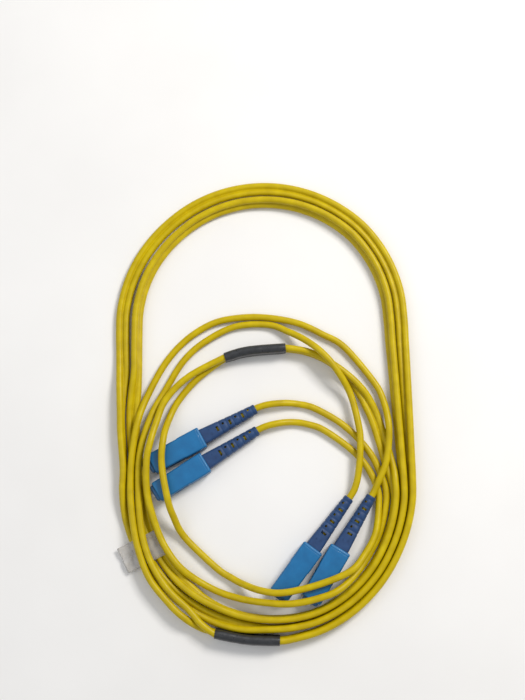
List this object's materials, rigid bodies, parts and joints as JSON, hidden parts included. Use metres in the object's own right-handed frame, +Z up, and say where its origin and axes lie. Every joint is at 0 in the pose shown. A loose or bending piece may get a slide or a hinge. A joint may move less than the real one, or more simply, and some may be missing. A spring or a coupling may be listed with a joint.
{
  "type": "fiber optic patch cord",
  "caption": "Coiled duplex fibre-optic patch cord with sprung, push-pull SC plugs, strain-relief boots and heat-shrink breakouts.",
  "frame": {"origin": "middle of the whole object's bounding box, on the surface that it lies on", "axes": "+Z up, out of the surface; +Y along the coil's long side; +X to its right"},
  "size_m": [0.1324, 0.206, 0.011],
  "materials": {
    "jacket": "smooth yellow PVC jacket, satin",
    "grip": "moulded blue plastic, satin gloss",
    "frame": "moulded blue plastic",
    "boot": "navy flexible boot, satin",
    "ferrule": "polished white zirconia ceramic",
    "metal": "plated, satin",
    "buffer": "smooth white buffer",
    "sleeve": "black heat-shrink tubing, satin gloss",
    "tape": "clear tape, grey where it's doubled"
  },
  "bodies": {
    "cord": {"zipcord": "jacket", "leg_a1": "jacket", "leg_a2": "jacket", "leg_b1": "jacket", "leg_b2": "jacket", "plug_frame_a1": "frame", "plug_frame_a2": "frame", "plug_frame_b1": "frame", "plug_frame_b2": "frame", "boot_a1": "boot", "boot_a2": "boot", "boot_b1": "boot", "boot_b2": "boot", "spring_a1": "metal", "spring_a2": "metal", "spring_b1": "metal", "spring_b2": "metal", "rear_body_a1": "metal", "rear_body_a2": "metal", "rear_body_b1": "metal", "rear_body_b2": "metal", "crimp_ring_a1": "metal", "crimp_ring_a2": "metal", "crimp_ring_b1": "metal", "crimp_ring_b2": "metal", "breakout_sleeve_1": "sleeve", "breakout_sleeve_2": "sleeve", "bundle_tape": "tape"},
    "housing_a1": {"grip_a1": "grip"},
    "ferrule_a1": {"ferrule_a1": "ferrule", "ferrule_flange_a1": "metal", "fibre_buffer_a1": "buffer"},
    "housing_a2": {"grip_a2": "grip"},
    "ferrule_a2": {"ferrule_a2": "ferrule", "ferrule_flange_a2": "metal", "fibre_buffer_a2": "buffer"},
    "housing_b1": {"grip_b1": "grip"},
    "ferrule_b1": {"ferrule_b1": "ferrule", "ferrule_flange_b1": "metal", "fibre_buffer_b1": "buffer"},
    "housing_b2": {"grip_b2": "grip"},
    "ferrule_b2": {"ferrule_b2": "ferrule", "ferrule_flange_b2": "metal", "fibre_buffer_b2": "buffer"}
  },
  "joints": [
    {"name": "housing_a1_slide", "type": "slide", "parent": "cord", "child": "housing_a1", "axis": [0.8788, 0.4772, 0], "range_m": [0, 0.002]},
    {"name": "ferrule_a1_spring", "type": "slide", "parent": "cord", "child": "ferrule_a1", "axis": [0.8788, 0.4772, 0], "range_m": [0, 0.001], "stiffness_N_per_m": 1000, "deforming": ["spring_a1"]},
    {"name": "housing_a2_slide", "type": "slide", "parent": "cord", "child": "housing_a2", "axis": [0.849, 0.5284, 0], "range_m": [0, 0.002]},
    {"name": "ferrule_a2_spring", "type": "slide", "parent": "cord", "child": "ferrule_a2", "axis": [0.849, 0.5284, 0], "range_m": [0, 0.001], "stiffness_N_per_m": 1000, "deforming": ["spring_a2"]},
    {"name": "housing_b1_slide", "type": "slide", "parent": "cord", "child": "housing_b1", "axis": [0.5962, 0.8028, 0], "range_m": [0, 0.002]},
    {"name": "ferrule_b1_spring", "type": "slide", "parent": "cord", "child": "ferrule_b1", "axis": [0.5962, 0.8028, 0], "range_m": [0, 0.001], "stiffness_N_per_m": 1000, "deforming": ["spring_b1"]},
    {"name": "housing_b2_slide", "type": "slide", "parent": "cord", "child": "housing_b2", "axis": [0.518, 0.8554, 0], "range_m": [0, 0.002]},
    {"name": "ferrule_b2_spring", "type": "slide", "parent": "cord", "child": "ferrule_b2", "axis": [0.518, 0.8554, 0], "range_m": [0, 0.001], "stiffness_N_per_m": 1000, "deforming": ["spring_b2"]}
  ]
}
